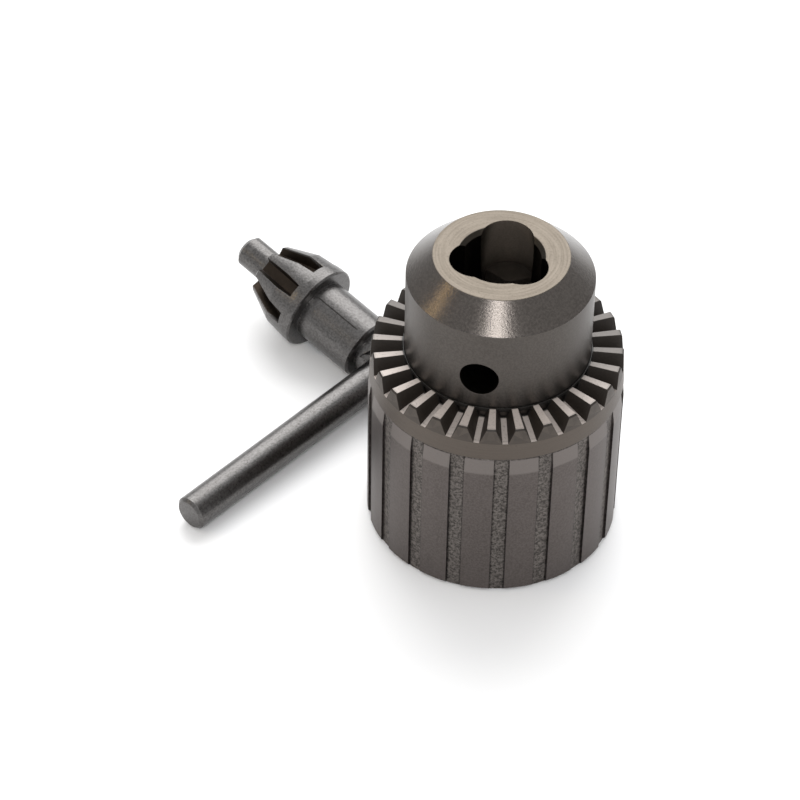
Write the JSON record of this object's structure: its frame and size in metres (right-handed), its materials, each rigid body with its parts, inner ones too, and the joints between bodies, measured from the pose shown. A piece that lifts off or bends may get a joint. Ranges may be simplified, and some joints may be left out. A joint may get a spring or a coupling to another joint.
{
  "type": "keyed drill chuck",
  "caption": "Keyed three-jaw drill chuck with geared sleeve, split nut, sliding jaws and a T-handled chuck key.",
  "frame": {"origin": "on the chuck's axis at its rear face, at the mouth of the spindle thread", "axes": "+Z along the chuck's axis out of the nose; -Y through one of the three key holes; jaw 1 lies towards +Y"},
  "size_m": [0.0778, 0.0835, 0.0565],
  "materials": {
    "turned_steel": "turned, satin, lightly oiled",
    "sleeve_steel": "satin, fine grain, bright tooth tops",
    "nut_steel": "dark hardened steel, greased",
    "jaw_steel": "ground hardened steel, oily",
    "key_steel": "nickel-grey satin with fine pits"
  },
  "bodies": {
    "chuck": {"chuck_body": "turned_steel"},
    "sleeve": {"geared_sleeve": "sleeve_steel", "nut_half_a": "nut_steel", "nut_half_b": "nut_steel"},
    "jaw_one": {"jaw_1": "jaw_steel"},
    "jaw_two": {"jaw_2": "jaw_steel"},
    "jaw_three": {"jaw_3": "jaw_steel"},
    "key": {"key_shank": "key_steel", "key_handle": "key_steel"}
  },
  "joints": [
    {"name": "sleeve_turn", "type": "hinge", "parent": "chuck", "child": "sleeve", "pos_m": [0, 0, 0.02], "axis": [0, 0, 1], "range_deg": [-3420, 0]},
    {"name": "jaw_1_slide", "type": "slide", "parent": "chuck", "child": "jaw_one", "axis": [0, -0.2334, 0.9724], "range_m": [0, 0.02375]},
    {"name": "jaw_2_slide", "type": "slide", "parent": "chuck", "child": "jaw_two", "axis": [0.2022, 0.1167, 0.9724], "range_m": [0, 0.02375]},
    {"name": "jaw_3_slide", "type": "slide", "parent": "chuck", "child": "jaw_three", "axis": [-0.2022, 0.1167, 0.9724], "range_m": [0, 0.02375]},
    {"name": "key_lift", "type": "slide", "parent": "chuck", "child": "key", "axis": [0, 0, 1], "range_m": [0, 0.06]}
  ],
  "couplings": [
    {"joint": "jaw_1_slide", "follows": "sleeve_turn", "m_per_rad": -0.00039788},
    {"joint": "jaw_2_slide", "follows": "sleeve_turn", "m_per_rad": -0.00039788},
    {"joint": "jaw_3_slide", "follows": "sleeve_turn", "m_per_rad": -0.00039788}
  ]
}
